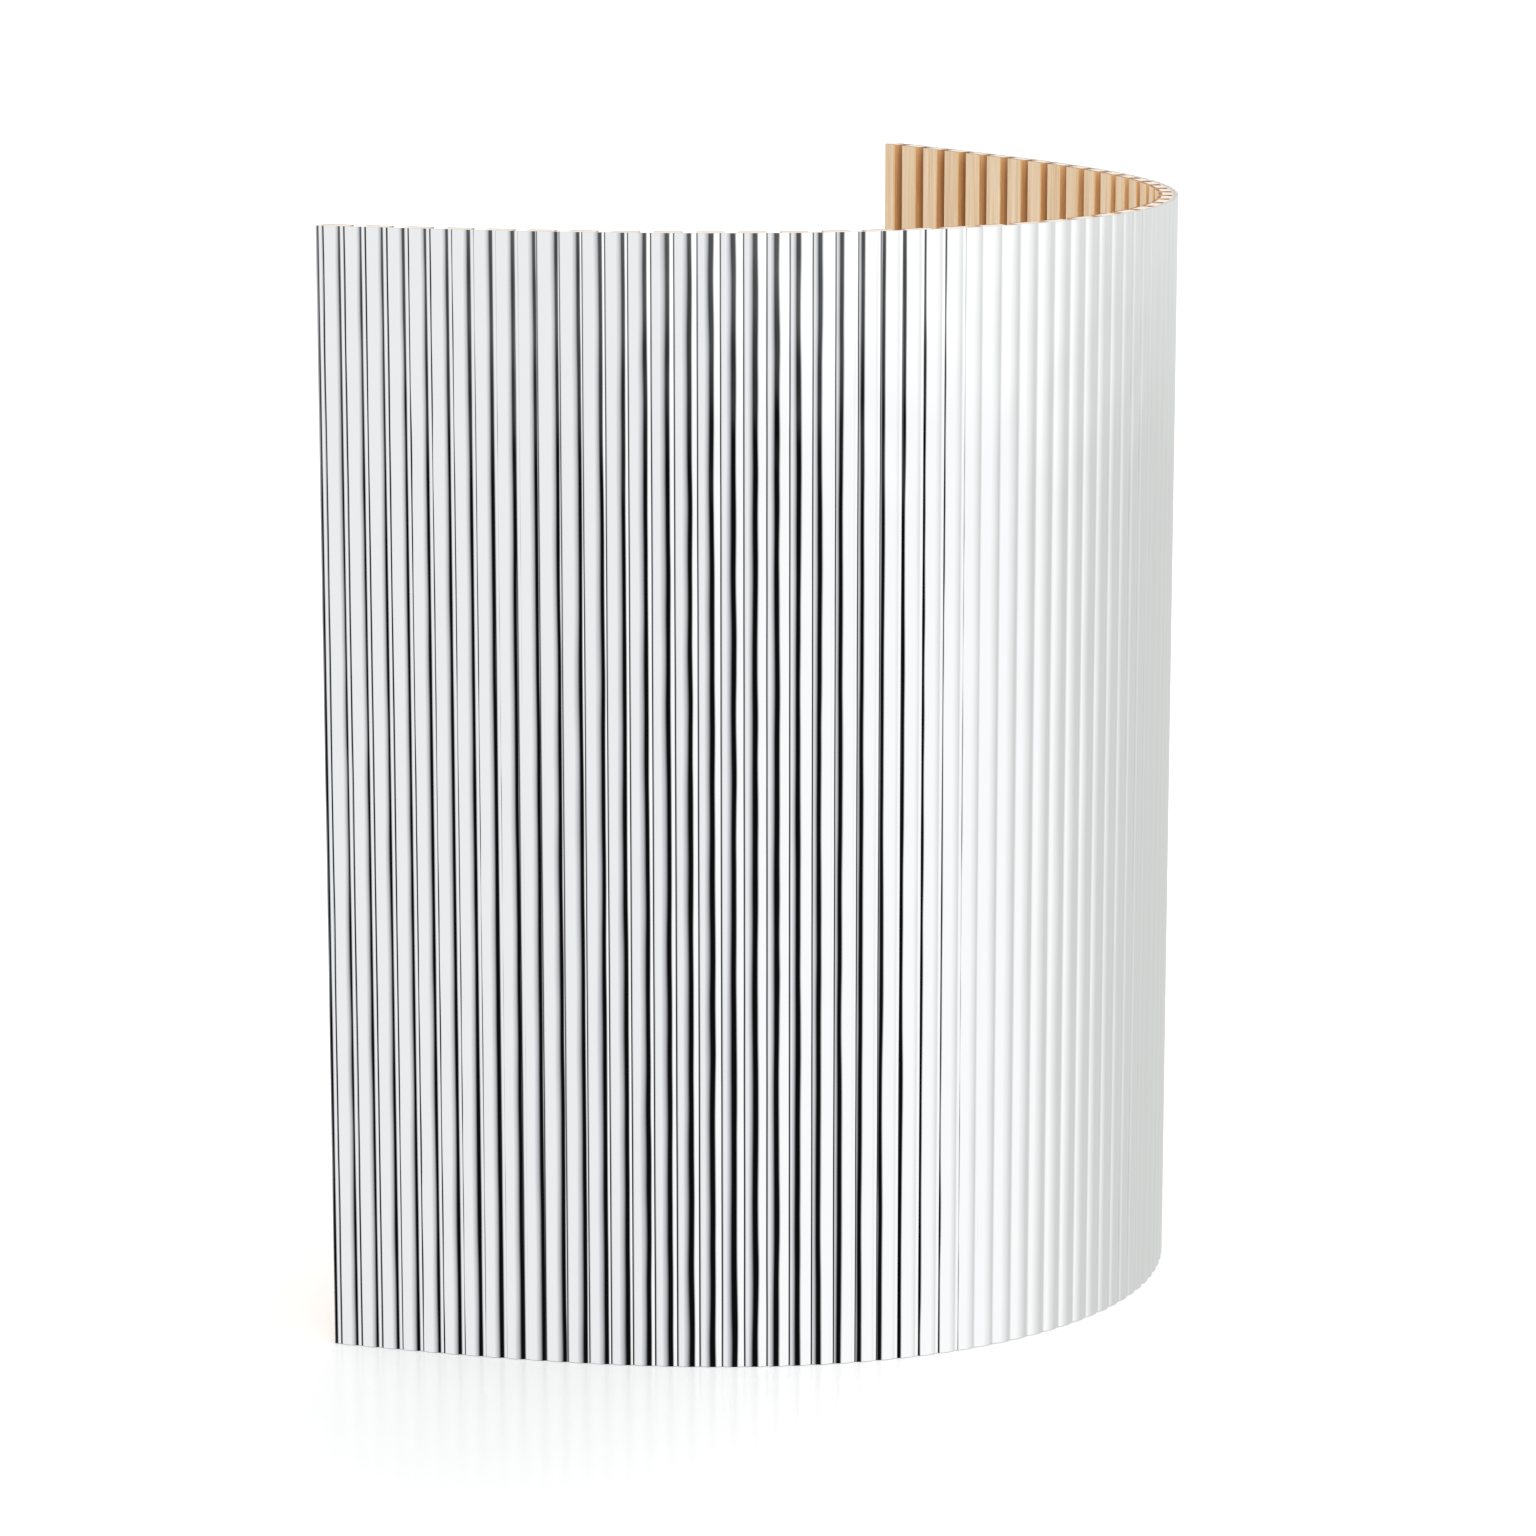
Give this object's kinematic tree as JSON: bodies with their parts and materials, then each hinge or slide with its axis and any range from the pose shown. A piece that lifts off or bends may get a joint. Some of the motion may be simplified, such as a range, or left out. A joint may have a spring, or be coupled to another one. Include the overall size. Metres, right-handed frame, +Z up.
{
  "type": "flexible acoustic panel",
  "caption": "Free-standing screen of grooved wood slats under a ribbed mirror facing; it flexes at its grooves and stands on edge in any curve from nearly flat to a drum.",
  "frame": {"origin": "middle of the panel's footprint, on the floor", "axes": "+Z up along the slats; +Y from the front run towards the rear end; +X towards the bend"},
  "size_m": [0.7756, 0.9272, 1],
  "materials": {
    "bare_wood": "bare, fine vertical grain",
    "mirror_facing": "polished silver, over shallow ribs"
  },
  "bodies": {
    "slat_body_01": {"slat_01": "bare_wood", "mirror_01": "mirror_facing"},
    "slat_body_02": {"slat_02": "bare_wood", "mirror_02": "mirror_facing"},
    "slat_body_03": {"slat_03": "bare_wood", "mirror_03": "mirror_facing"},
    "slat_body_04": {"slat_04": "bare_wood", "mirror_04": "mirror_facing"},
    "slat_body_05": {"slat_05": "bare_wood", "mirror_05": "mirror_facing"},
    "slat_body_06": {"slat_06": "bare_wood", "mirror_06": "mirror_facing"},
    "slat_body_07": {"slat_07": "bare_wood", "mirror_07": "mirror_facing"},
    "slat_body_08": {"slat_08": "bare_wood", "mirror_08": "mirror_facing"},
    "slat_body_09": {"slat_09": "bare_wood", "mirror_09": "mirror_facing"},
    "slat_body_10": {"slat_10": "bare_wood", "mirror_10": "mirror_facing"},
    "slat_body_11": {"slat_11": "bare_wood", "mirror_11": "mirror_facing"},
    "slat_body_12": {"slat_12": "bare_wood", "mirror_12": "mirror_facing"},
    "slat_body_13": {"slat_13": "bare_wood", "mirror_13": "mirror_facing"},
    "slat_body_14": {"slat_14": "bare_wood", "mirror_14": "mirror_facing"},
    "slat_body_15": {"slat_15": "bare_wood", "mirror_15": "mirror_facing"},
    "slat_body_16": {"slat_16": "bare_wood", "mirror_16": "mirror_facing"},
    "slat_body_17": {"slat_17": "bare_wood", "mirror_17": "mirror_facing"},
    "slat_body_18": {"slat_18": "bare_wood", "mirror_18": "mirror_facing"},
    "slat_body_19": {"slat_19": "bare_wood", "mirror_19": "mirror_facing"},
    "slat_body_20": {"slat_20": "bare_wood", "mirror_20": "mirror_facing"},
    "slat_body_21": {"slat_21": "bare_wood", "mirror_21": "mirror_facing"},
    "slat_body_22": {"slat_22": "bare_wood", "mirror_22": "mirror_facing"},
    "slat_body_23": {"slat_23": "bare_wood", "mirror_23": "mirror_facing"},
    "slat_body_24": {"slat_24": "bare_wood", "mirror_24": "mirror_facing"},
    "slat_body_25": {"slat_25": "bare_wood", "mirror_25": "mirror_facing"},
    "slat_body_26": {"slat_26": "bare_wood", "mirror_26": "mirror_facing"},
    "slat_body_27": {"slat_27": "bare_wood", "mirror_27": "mirror_facing"},
    "slat_body_28": {"slat_28": "bare_wood", "mirror_28": "mirror_facing"},
    "slat_body_29": {"slat_29": "bare_wood", "mirror_29": "mirror_facing"}
  },
  "joints": [
    {"name": "groove_14_15", "type": "hinge", "parent": "slat_body_15", "child": "slat_body_14", "pos_m": [0.2944, -0.32869, 0], "axis": [0, 0, -1], "range_deg": [-5.77, 2.23]},
    {"name": "groove_13_14", "type": "hinge", "parent": "slat_body_14", "child": "slat_body_13", "pos_m": [0.26911, -0.35516, 0], "axis": [0, 0, -1], "range_deg": [-5.76, 2.24]},
    {"name": "groove_12_13", "type": "hinge", "parent": "slat_body_13", "child": "slat_body_12", "pos_m": [0.2413, -0.37895, 0], "axis": [0, 0, -1], "range_deg": [-5.7, 2.3]},
    {"name": "groove_11_12", "type": "hinge", "parent": "slat_body_12", "child": "slat_body_11", "pos_m": [0.21127, -0.39986, 0], "axis": [0, 0, -1], "range_deg": [-5.59, 2.41]},
    {"name": "groove_10_11", "type": "hinge", "parent": "slat_body_11", "child": "slat_body_10", "pos_m": [0.17933, -0.41775, 0], "axis": [0, 0, -1], "range_deg": [-5.42, 2.58]},
    {"name": "groove_09_10", "type": "hinge", "parent": "slat_body_10", "child": "slat_body_09", "pos_m": [0.14586, -0.43254, 0], "axis": [0, 0, -1], "range_deg": [-5.21, 2.79]},
    {"name": "groove_08_09", "type": "hinge", "parent": "slat_body_09", "child": "slat_body_08", "pos_m": [0.11117, -0.44422, 0], "axis": [0, 0, -1], "range_deg": [-4.96, 3.04]},
    {"name": "groove_07_08", "type": "hinge", "parent": "slat_body_08", "child": "slat_body_07", "pos_m": [0.07561, -0.45287, 0], "axis": [0, 0, -1], "range_deg": [-4.67, 3.33]},
    {"name": "groove_06_07", "type": "hinge", "parent": "slat_body_07", "child": "slat_body_06", "pos_m": [0.03946, -0.45859, 0], "axis": [0, 0, -1], "range_deg": [-4.34, 5.66]},
    {"name": "groove_05_06", "type": "hinge", "parent": "slat_body_06", "child": "slat_body_05", "pos_m": [-0.03362, -0.46198, 0], "axis": [0, 0, -1], "range_deg": [-3.61, 9.39]},
    {"name": "groove_04_05", "type": "hinge", "parent": "slat_body_05", "child": "slat_body_04", "pos_m": [-0.10656, -0.45618, 0], "axis": [0, 0, -1], "range_deg": [-2.83, 10.17]},
    {"name": "groove_03_04", "type": "hinge", "parent": "slat_body_04", "child": "slat_body_03", "pos_m": [-0.17859, -0.44322, 0], "axis": [0, 0, -1], "range_deg": [-2.05, 10.95]},
    {"name": "groove_02_03", "type": "hinge", "parent": "slat_body_03", "child": "slat_body_02", "pos_m": [-0.24951, -0.42514, 0], "axis": [0, 0, -1], "range_deg": [-1.33, 11.67]},
    {"name": "groove_01_02", "type": "hinge", "parent": "slat_body_02", "child": "slat_body_01", "pos_m": [-0.31952, -0.40376, 0], "axis": [0, 0, -1], "range_deg": [-0.73, 12.27]},
    {"name": "groove_15_16", "type": "hinge", "parent": "slat_body_15", "child": "slat_body_16", "pos_m": [0.31689, -0.29982, 0], "axis": [0, 0, 1], "range_deg": [-5.73, 2.27]},
    {"name": "groove_16_17", "type": "hinge", "parent": "slat_body_16", "child": "slat_body_17", "pos_m": [0.33639, -0.26885, 0], "axis": [0, 0, 1], "range_deg": [-5.65, 2.35]},
    {"name": "groove_17_18", "type": "hinge", "parent": "slat_body_17", "child": "slat_body_18", "pos_m": [0.35275, -0.23611, 0], "axis": [0, 0, 1], "range_deg": [-5.53, 2.47]},
    {"name": "groove_18_19", "type": "hinge", "parent": "slat_body_18", "child": "slat_body_19", "pos_m": [0.36587, -0.20194, 0], "axis": [0, 0, 1], "range_deg": [-5.38, 2.62]},
    {"name": "groove_19_20", "type": "hinge", "parent": "slat_body_19", "child": "slat_body_20", "pos_m": [0.37574, -0.1667, 0], "axis": [0, 0, 1], "range_deg": [-5.19, 2.81]},
    {"name": "groove_20_21", "type": "hinge", "parent": "slat_body_20", "child": "slat_body_21", "pos_m": [0.38237, -0.1307, 0], "axis": [0, 0, 1], "range_deg": [-4.96, 5.04]},
    {"name": "groove_21_22", "type": "hinge", "parent": "slat_body_21", "child": "slat_body_22", "pos_m": [0.38637, -0.05767, 0], "axis": [0, 0, 1], "range_deg": [-4.43, 8.57]},
    {"name": "groove_22_23", "type": "hinge", "parent": "slat_body_22", "child": "slat_body_23", "pos_m": [0.37909, 0.01512, 0], "axis": [0, 0, 1], "range_deg": [-3.8, 9.2]},
    {"name": "groove_23_24", "type": "hinge", "parent": "slat_body_23", "child": "slat_body_24", "pos_m": [0.36225, 0.08632, 0], "axis": [0, 0, 1], "range_deg": [-3.13, 9.87]},
    {"name": "groove_24_25", "type": "hinge", "parent": "slat_body_24", "child": "slat_body_25", "pos_m": [0.33775, 0.15527, 0], "axis": [0, 0, 1], "range_deg": [-2.44, 10.56]},
    {"name": "groove_25_26", "type": "hinge", "parent": "slat_body_25", "child": "slat_body_26", "pos_m": [0.30748, 0.2219, 0], "axis": [0, 0, 1], "range_deg": [-1.77, 11.23]},
    {"name": "groove_26_27", "type": "hinge", "parent": "slat_body_26", "child": "slat_body_27", "pos_m": [0.27312, 0.28654, 0], "axis": [0, 0, 1], "range_deg": [-1.17, 11.83]},
    {"name": "groove_27_28", "type": "hinge", "parent": "slat_body_27", "child": "slat_body_28", "pos_m": [0.23614, 0.3497, 0], "axis": [0, 0, 1], "range_deg": [-0.67, 12.33]},
    {"name": "groove_28_29", "type": "hinge", "parent": "slat_body_28", "child": "slat_body_29", "pos_m": [0.19767, 0.41198, 0], "axis": [0, 0, 1], "range_deg": [-0.29, 12.71]}
  ]
}
